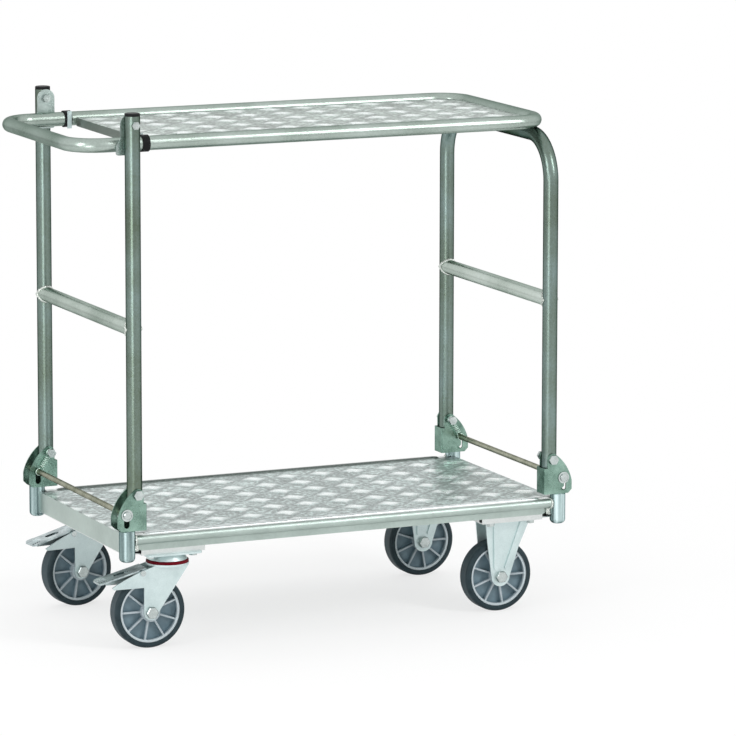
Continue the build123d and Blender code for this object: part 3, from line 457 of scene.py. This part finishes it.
deck_sheet = diamond_sheet(
    "deck_sheet",
    DECK_MIDDLE,
    DECK_TOP,
    RIM_Y,
    ground_tint=(0.68, 0.79, 0.77),
    plain_dark=(0.36, 0.43, 0.40),
    plain_light=(0.50, 0.59, 0.55),
)
# Painted shade: the shelf's folded edges and underside take a much darker plain colour because they lie
# in shade.
shelf_sheet = diamond_sheet(
    "shelf_sheet",
    SHELF_MIDDLE,
    SHELF_TOP,
    SHELF_RIM_Y,
    ground_tint=(0.62, 0.72, 0.67),
    plain_dark=(0.14, 0.17, 0.15),
    plain_light=(0.25, 0.29, 0.26),
)

plain_sheet = Finish("plain_sheet")
sheet_grain = plain_sheet.noise(500, detail=2)
sheet_clouds = plain_sheet.noise(11, detail=4)
plain_sheet.set(
    Base_Color=plain_sheet.ramp(
        sheet_clouds * 0.6 + sheet_grain * 0.4,
        (0.30, (0.58, 0.61, 0.60)),
        (0.70, (0.76, 0.79, 0.78)),
    ),
    Metallic=0.85,
    Roughness=plain_sheet.between(sheet_clouds, 0.3, 0.7, 0.28, 0.42),
    Normal=plain_sheet.bump(sheet_grain, 0.00005, 0.3),
)
# The rim's inner half is painted dark, as painted shade, and its outer half light, as a painted
# highlight.
rim_sheet = Finish("rim_sheet")
rim_grain = rim_sheet.noise(300, detail=3)
rim_lit_half = rim_sheet.between(abs(rim_sheet.axes()[1]), RIM_Y - 0.0005, RIM_Y + 0.0010)
rim_sheet.set(
    Base_Color=rim_sheet.mix(
        rim_lit_half,
        rim_sheet.ramp(rim_grain, (0.3, (0.08, 0.10, 0.09)), (0.7, (0.15, 0.18, 0.17))),
        rim_sheet.ramp(rim_grain, (0.3, (0.66, 0.71, 0.71)), (0.7, (0.82, 0.87, 0.87))),
    ),
    Metallic=0.8,
    Roughness=rim_sheet.between(rim_grain, 0.3, 0.7, 0.26, 0.40),
)
print("sheet finishes:", deck_sheet.name, shelf_sheet.name, plain_sheet.material.name)

# %% [markdown]
# ## Passivated plate, caster steel and bolts
# The hinge brackets, the ears and the springs have a zinc plate with a green
# passivation. The caster forks are brighter and rougher. Bolts and pins take a plain
# bright zinc, and the release rods a warmer one. The brake pedals are smooth and
# mirror more, and weld metal is mottled finely.

# %% Plate finishes


def plated(name, dark, light, rough, cloud_scale, metallic=0.9, edge=1.0):
    plate = Finish(name)
    clouds = plate.noise(cloud_scale, detail=5, rough=0.6)
    grain = plate.noise(600, detail=2)
    tone = clouds * 0.7 + grain * 0.3
    plate.set(
        Base_Color=plate.ramp(tone, (0.32, dark), (0.68, light)),
        Metallic=metallic,
        Roughness=plate.between(tone, 0.3, 0.7, *rough),
        Specular_Tint=rgb(edge, edge, edge),
        Normal=plate.bump(grain, 0.00005, 0.35),
    )
    return plate.material


bracket_zinc = plated(
    "bracket_zinc",
    dark=(0.095, 0.172, 0.135),
    light=(0.350, 0.525, 0.445),
    rough=(0.20, 0.36),
    cloud_scale=30,
    metallic=0.95,
    edge=0.4,
)
spring_zinc = plated(
    "spring_zinc",
    dark=(0.50, 0.68, 0.60),
    light=(0.72, 0.88, 0.80),
    rough=(0.22, 0.34),
    cloud_scale=60,
)
ear_zinc = plated(
    "ear_zinc",
    dark=(0.36, 0.44, 0.42),
    light=(0.62, 0.70, 0.68),
    rough=(0.22, 0.38),
    cloud_scale=40,
    metallic=0.95,
    edge=0.6,
)
caster_zinc = plated(
    "caster_zinc",
    dark=(0.52, 0.63, 0.63),
    light=(0.70, 0.81, 0.81),
    rough=(0.30, 0.46),
    cloud_scale=30,
    metallic=0.75,
)
bolt_zinc = plated(
    "bolt_zinc",
    dark=(0.40, 0.45, 0.44),
    light=(0.68, 0.74, 0.73),
    rough=(0.18, 0.30),
    cloud_scale=60,
    metallic=1.0,
    edge=0.4,
)
rod_zinc = plated(
    "rod_zinc",
    dark=(0.34, 0.36, 0.28),
    light=(0.60, 0.61, 0.50),
    rough=(0.22, 0.36),
    cloud_scale=40,
    metallic=1.0,
    edge=0.2,
)
pedal_steel = plated(
    "pedal_steel",
    dark=(0.15, 0.19, 0.20),
    light=(0.74, 0.86, 0.87),
    rough=(0.12, 0.24),
    cloud_scale=45,
    metallic=1.0,
)
weld_steel = plated(
    "weld_steel",
    dark=(0.46, 0.50, 0.46),
    light=(0.80, 0.84, 0.80),
    rough=(0.20, 0.38),
    cloud_scale=220,
)
print("plate finishes ready")

# %% [markdown]
# ## Black plastic, red seal, wheels and tyres
# Moulded plastic has a fine grain and a soft sheen. On a wheel centre the spokes and
# the rim stand out from a thin web and look paler, because light catches them, so the
# colour follows the distance from the wheel's middle plane. That plane is different
# for each wheel, and a Mapping node turns it to each wheel's own axle.

# %% Plastic and rubber


def moulded(name, dark, light, rough):
    plastic = Finish(name)
    clouds = plastic.noise(40, detail=3)
    grain = plastic.noise(900, detail=2)
    plastic.set(
        Base_Color=plastic.ramp(clouds * 0.7 + grain * 0.3, (0.3, dark), (0.7, light)),
        Roughness=plastic.between(clouds, 0.3, 0.7, *rough),
        Specular_IOR_Level=0.06,
        Normal=plastic.bump(grain, 0.00006, 0.4),
    )
    return plastic.material


black_plastic = moulded(
    "black_plastic",
    dark=(0.008, 0.009, 0.009),
    light=(0.020, 0.021, 0.022),
    rough=(0.35, 0.55),
)
seal_red = moulded(
    "seal_red",
    dark=(0.09, 0.002, 0.007),
    light=(0.16, 0.004, 0.011),
    rough=(0.35, 0.5),
)


class WheelFinish(Finish):
    """A finish that knows its wheel's axle: how far along it, and how far from it."""

    def __init__(self, name, hub, turn):
        super().__init__(name)
        own = self.node(
            "ShaderNodeMapping",
            {"vector_type": "TEXTURE"},
            {"Vector": self.place, "Location": hub, "Rotation": (0, 0, turn)},
        )
        x, y, z = self.axes(own)
        self.along = abs(y)
        flat = self.node("ShaderNodeCombineXYZ", None, {0: x, 1: 0.0, 2: z})
        self.radius = self.node("ShaderNodeVectorMath", {"operation": "LENGTH"}, {0: flat}, out=1)


WEB_HALF, SPOKE_HALF, TREAD_HALF = 0.006, 0.011, 0.015
RING_START, RING_FULL = 0.0495, 0.0512


def wheel_plastic(name, hub, turn):
    plastic = WheelFinish(name, hub, turn)
    raised = plastic.between(plastic.along, WEB_HALF, SPOKE_HALF)
    rim = plastic.between(plastic.radius, RING_START, RING_FULL)
    clouds = plastic.noise(50, detail=3)
    grain = plastic.noise(900, detail=2)
    web = plastic.ramp(clouds, (0.3, (0.120, 0.185, 0.222)), (0.7, (0.190, 0.275, 0.320)))
    spoke = plastic.ramp(clouds, (0.3, (0.34, 0.40, 0.43)), (0.7, (0.46, 0.52, 0.55)))
    ring = rgb(0.56, 0.63, 0.66)
    plastic.set(
        Base_Color=plastic.mix(raised, web, plastic.mix(rim, spoke, ring)),
        Roughness=plastic.between(grain, 0.3, 0.7, 0.36, 0.5),
        Normal=plastic.bump(grain, 0.00005, 0.3),
    )
    return plastic.material


def tyre_rubber(name, hub, turn):
    rubber = WheelFinish(name, hub, turn)
    tread = rubber.between(rubber.along, TREAD_HALF, TREAD_HALF - 0.006)
    dust = rubber.noise(70, detail=5, rough=0.65)
    grain = rubber.noise(1100, detail=2)
    wall = rubber.ramp(dust, (0.3, (0.012, 0.025, 0.031)), (0.7, (0.027, 0.047, 0.055)))
    worn = rubber.ramp(dust, (0.3, (0.027, 0.046, 0.055)), (0.7, (0.056, 0.084, 0.097)))
    rubber.set(
        Base_Color=rubber.mix(tread, wall, worn),
        Roughness=rubber.between(dust, 0.3, 0.7, 0.46, 0.64),
        Specular_IOR_Level=0.25,
        Normal=rubber.bump(grain + dust * 0.5, 0.00010, 0.5),
    )
    return rubber.material


print("plastic finishes ready")

# %% [markdown]
# ## Give every solid its finish
# Each solid's object has one material slot. The names of the solids say which finish
# they take. The wheels ask the record for their axles.

# %% Assign finishes


def wear(finish, *names):
    for name in names:
        solid = frame["nodes"][name]
        if not solid.material_slots:
            solid.data.materials.append(finish)
        for slot in solid.material_slots:
            slot.material = finish


corners = ("front_left", "rear_left", "front_right", "rear_right")
wear(post_tube, "left_post_front", "left_post_rear", "bow_tube")
wear(cross_tube, "left_crossbar", "bow_crossbar")
wear(loop_tube, "shelf_loop")
wear(stub_tube, *("corner_stub_" + corner for corner in corners))
wear(deck_sheet, "deck_panel")
wear(shelf_sheet, "shelf_sheet")
wear(plain_sheet.material, "shelf_strut", "end_channel_left", "end_channel_right")
wear(bracket_zinc, *("hinge_bracket_" + corner for corner in corners))
wear(ear_zinc, "shelf_ear_front", "shelf_ear_rear")
wear(caster_zinc, "caster_plate_front", "caster_plate_rear", "shelf_collar_clips")
wear(caster_zinc, "swivel_fork_front", "swivel_fork_rear")
wear(caster_zinc, "fixed_fork_front", "fixed_fork_rear")
wear(bolt_zinc, "king_pins", "pedal_pin_front", "pedal_pin_rear")
wear(bolt_zinc, "hinge_bolts", "shelf_pivot_bolts", "caster_bolts")
wear(bolt_zinc, "rod_caps_left", "rod_caps_right")
wear(bolt_zinc, *("axle_" + corner for corner in corners))
wear(rod_zinc, "release_rod_left", "release_rod_right")
wear(spring_zinc, "release_springs_left", "release_springs_right")
wear(pedal_steel, "brake_pedal_front", "brake_pedal_rear")
wear(black_plastic, "left_post_caps", "left_foot_caps", "bow_foot_caps", "shelf_collars")
wear(seal_red, "seal_ring_front", "seal_ring_rear")
spin = {joint["child"]: joint for joint in frame["record"]["behaviour"]["joints"]}
for corner in corners:
    joint = spin["wheel_" + corner + "_body"]
    hub = Vector(joint["pos_m"])
    turn = -Vector((0, 1)).angle_signed(Vector(joint["axis"][:2]))
    wear(wheel_plastic("wheel_plastic_" + corner, hub, turn), "wheel_" + corner)
    wear(tyre_rubber("tyre_rubber_" + corner, hub, turn), "tyre_" + corner)
print("finished solids:", len(frame["nodes"]))

# %% [markdown]
# ## Raised diamonds
# On the real decks each diamond is pressed up a millimetre or two, which gives the
# tread its grip and its glints. All are alike, so Geometry Nodes makes one soft
# four-sided boss and sets it on every point of a grid. The points are worked out in
# Python, because the brackets stand on the corners of the lower deck.

# %% Geometry Nodes helpers


class Grower:
    """A Geometry Nodes tree with named inputs, whose nodes are made one at a time."""

    def __init__(self, name, **sizes):
        self.tree = bpy.data.node_groups.new(name, "GeometryNodeTree")
        self.socket("Geometry", "INPUT", "Geometry")
        self.names = {}
        for size, (kind, value) in sizes.items():
            socket = self.socket(size, "INPUT", kind)
            if kind != "Material":
                socket.default_value = value
            self.names[size] = socket.identifier
        self.socket("Geometry", "OUTPUT", "Geometry")
        self.enter = self.tree.nodes.new("NodeGroupInput")
        self.leave = self.tree.nodes.new("NodeGroupOutput")

    def socket(self, name, way, kind):
        return self.tree.interface.new_socket(
            name, in_out=way, socket_type="NodeSocket" + kind
        )

    def size(self, name):
        return self.enter.outputs[name]

    def node(self, kind, settings=None, sockets=None, out=0):
        node = self.tree.nodes.new(kind)
        for key, item in (settings or {}).items():
            setattr(node, key, item)
        for key, item in (sockets or {}).items():
            if isinstance(item, bpy.types.NodeSocket):
                self.tree.links.new(item, node.inputs[key])
            else:
                node.inputs[key].default_value = item
        return node.outputs[out]

    def end(self, instances):
        solid = self.node("GeometryNodeRealizeInstances", None, {0: instances})
        painted = self.node(
            "GeometryNodeSetMaterial", None, {0: solid, "Material": self.size("Material")}
        )
        self.tree.links.new(painted, self.leave.inputs[0])


def grow(name, points, edges, grower, body, slot, **sizes):
    """Runs a tree on points and keeps the result as a plain mesh on a body."""
    seed_mesh = bpy.data.meshes.new(name + "_points")
    seed_mesh.from_pydata(points, edges, [])
    seed = add_object(name + "_points", seed_mesh)
    modifier = seed.modifiers.new("grow", "NODES")
    modifier.node_group = grower.tree
    for size, value in sizes.items():
        modifier[grower.names[size]] = value
    ready = seed.evaluated_get(bpy.context.evaluated_depsgraph_get())
    mesh = bpy.data.meshes.new_from_object(ready)
    seed.modifiers.remove(modifier)
    bpy.data.objects.remove(seed)
    bpy.data.meshes.remove(seed_mesh)
    mesh.name = name
    piece = add_object(name, mesh)
    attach(piece, body)
    print(name, "has", len(mesh.polygons), "faces")


print("grower ready")

# %% Diamonds
BOSS_FLAT, BOSS_CREASE, BOSS_SINK = 0.36, 0.4, 0.0001
GRID_X, GRID_Y = 8, 5
bosses = Grower(
    "pressed_diamonds",
    Half_X=("Float", 0.03),
    Half_Y=("Float", 0.03),
    Height=("Float", 0.001),
    Material=("Material", None),
)
boss = bosses.node(
    "GeometryNodeMeshCone",
    {"fill_type": "NGON"},
    {"Vertices": 4, "Radius Top": BOSS_FLAT, "Radius Bottom": 1.0, "Depth": 1.0},
)
boss = bosses.node(
    "GeometryNodeSubdivisionSurface",
    None,
    {0: boss, "Level": 2, "Edge Crease": BOSS_CREASE, "Vertex Crease": BOSS_CREASE},
)
boss = bosses.node("GeometryNodeSetShadeSmooth", None, {0: boss})
boss_size = bosses.node(
    "ShaderNodeCombineXYZ",
    None,
    {0: bosses.size("Half_X"), 1: bosses.size("Half_Y"), 2: bosses.size("Height")},
)
bosses.end(
    bosses.node(
        "GeometryNodeInstanceOnPoints",
        None,
        {0: bosses.enter.outputs[0], "Instance": boss, "Scale": boss_size},
    )
)


def diamond_points(middle, low, high, top, keep_off=()):
    """Grid points whose diamonds fit inside a rectangle and clear of other boxes."""
    points = []
    for i in range(-GRID_X, GRID_X + 1):
        for j in range(-GRID_Y, GRID_Y + 1):
            x, y = middle[0] + i * CELL_X, middle[1] + j * CELL_Y
            inside = low[0] + BOSS_HALF_X < x < high[0] - BOSS_HALF_X
            inside = inside and low[1] + BOSS_HALF_Y < y < high[1] - BOSS_HALF_Y
            for near, far in keep_off:
                past_x = max(near[0] - x, x - far[0], 0) / BOSS_HALF_X
                past_y = max(near[1] - y, y - far[1], 0) / BOSS_HALF_Y
                inside = inside and past_x + past_y > 1
            if inside:
                points.append((x, y, top))
    return points


brackets = [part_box("hinge_bracket_" + corner) for corner in corners]
deck_low, deck_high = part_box("deck_panel")
sheet_low, sheet_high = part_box("shelf_sheet")
boss_sizes = {"Half_X": BOSS_HALF_X, "Half_Y": BOSS_HALF_Y, "Height": BOSS_HEIGHT}
grow(
    "deck_diamonds",
    diamond_points(DECK_MIDDLE, deck_low, deck_high, DECK_TOP - BOSS_SINK, brackets),
    [],
    bosses,
    "base",
    "pressed_sheet",
    Material=deck_sheet,
    **boss_sizes,
)
grow(
    "shelf_diamonds",
    diamond_points(SHELF_MIDDLE, sheet_low, sheet_high, SHELF_TOP - BOSS_SINK),
    [],
    bosses,
    "shelf",
    "pressed_sheet",
    Material=shelf_sheet,
    **boss_sizes,
)

# %% [markdown]
# ## Rim of the lower deck
# The press also rolls a low round rim along both long sides of the lower deck. Its finish
# paints a bright line of light on its outer half and shade on its inner half, and the
# deck's finish paints a shade line on the sheet beside it. It is a half-oval section drawn
# along X, and it sinks into the sheet at both ends.

# %% Rim
RIM_HALF, RIM_HEIGHT, RIM_END, RIM_SINK = 0.0066, 0.0034, 0.012, 0.0003
RIM_GAP = 0.001


def rim_crest(name, y, start, end, steps=10):
    stations = [(start, 0.0), (start + RIM_END / 3, 0.75), (start + RIM_END, 1.0)]
    stations += [(end - RIM_END, 1.0), (end - RIM_END / 3, 0.75), (end, 0.0)]
    points, faces = [], []
    for x, share in stations:
        for k in range(steps + 1):
            turn = pi * k / steps
            z = DECK_TOP - RIM_SINK + RIM_HEIGHT * share * sin(turn)
            points.append((x, y - RIM_HALF * cos(turn), z))
    row = steps + 1
    for i in range(len(stations) - 1):
        for k in range(steps):
            low = i * row + k
            faces.append((low, low + row, low + row + 1, low + 1))
    mesh = bpy.data.meshes.new(name)
    mesh.from_pydata(points, [], faces)
    mesh.polygons.foreach_set("use_smooth", [True] * len(faces))
    mesh.materials.append(rim_sheet.material)
    piece = add_object(name, mesh)
    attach(piece, "base")
    print(name, "has", len(faces), "faces")


rim_start = max(high[0] for low, high in brackets[:2]) + RIM_GAP
rim_end = min(low[0] for low, high in brackets[2:]) - RIM_GAP
rim_crest("deck_rim_front", -RIM_Y, rim_start, rim_end)
rim_crest("deck_rim_rear", RIM_Y, rim_start, rim_end)

# %% [markdown]
# ## Weld beads
# Where a crossbar meets a post, a bead of weld runs round the coped end. A bead is a
# row of overlapping drops, so Geometry Nodes resamples the seam's line and sets a
# round drop on each point, with a little seeded change of size. The seam is where
# two equal tubes cross: at height z above the crossbar's axis, and x beside it, the
# post's wall is the root of r squared less x squared from the post's axis.
#
# The lower deck is welded to its four corner stubs. There the bead goes round the end
# of the rolled edge, and then swings from side to side down the open skirt end.

# %% Weld beads
TUBE_R = 0.0135
POST_Y, CROSSBAR_Z = 0.217, 0.569
LEFT_X, RIGHT_X = -0.367, 0.433
DECK_X = (LEFT_X + RIGHT_X) / 2
beads = Grower(
    "weld_beads",
    Drop=("Float", 0.002),
    Pitch=("Float", 0.0015),
    Seed=("Int", 3),
    Material=("Material", None),
)
seam_curve = beads.node("GeometryNodeMeshToCurve", None, {0: beads.enter.outputs[0]})
seam_points = beads.node(
    "GeometryNodeResampleCurve", {"mode": "LENGTH"}, {0: seam_curve, "Length": beads.size("Pitch")}
)
drop = beads.node(
    "GeometryNodeMeshIcoSphere", None, {"Radius": beads.size("Drop"), "Subdivisions": 2}
)
drop = beads.node("GeometryNodeSetShadeSmooth", None, {0: drop})
drop_scale = beads.node(
    "FunctionNodeRandomValue",
    {"data_type": "FLOAT"},
    {"Min": 0.8, "Max": 1.15, "Seed": beads.size("Seed")},
    out="Value",
)
beads.end(
    beads.node(
        "GeometryNodeInstanceOnPoints",
        None,
        {0: seam_points, "Instance": drop, "Scale": drop_scale},
    )
)


def crossbar_seams(post_x, steps=36):
    """Two closed seams, one at each end of a crossbar."""
    points, edges = [], []
    for side in (-1, 1):
        first = len(points)
        for k in range(steps):
            turn = 2 * pi * k / steps
            x, z = TUBE_R * cos(turn), TUBE_R * sin(turn)
            reach = (TUBE_R**2 - x**2) ** 0.5
            points.append((post_x + x, side * (POST_Y - reach), CROSSBAR_Z + z))
            edges.append((first + k, first + (k + 1) % steps))
    return points, edges


crossbars = (("left_weld_beads", LEFT_X, "left_frame"), ("bow_weld_beads", RIGHT_X, "bow"))
for name, post_x, body in crossbars:
    grow(
        name,
        *crossbar_seams(post_x),
        beads,
        body,
        "galvanised_tube",
        Drop=0.0030,
        Pitch=0.0026,
        Seed=5,
        Material=weld_steel,
    )

EDGE_Y, EDGE_R, EDGE_END = 0.2215, 0.0085, 0.4017
SWING_STEP, SWING_WIDTH, SKIRT_IN = 0.001, 0.0065, 0.002


def corner_seams(steps=10, swings=11):
    """One open seam at each corner of the lower deck."""
    line = []
    for k in range(steps + 1):
        turn = pi * k / steps
        z = DECK_TOP - EDGE_R + EDGE_R * cos(turn)
        line.append((EDGE_END, EDGE_Y + EDGE_R * sin(turn), z))
    for k in range(swings):
        z = DECK_TOP - 2 * EDGE_R - SWING_STEP * (k + 1)
        line.append((EDGE_END - SWING_WIDTH * (k % 2), EDGE_Y - SKIRT_IN, z))
    points, edges = [], []
    for end in (-1, 1):
        for side in (-1, 1):
            first = len(points)
            points += [(DECK_X + end * x, side * y, z) for x, y, z in line]
            edges += [(first + k, first + k + 1) for k in range(len(line) - 1)]
    return points, edges


grow(
    "deck_weld_beads",
    *corner_seams(),
    beads,
    "base",
    "pressed_sheet",
    Drop=0.0022,
    Pitch=0.0020,
    Seed=8,
    Material=weld_steel,
)
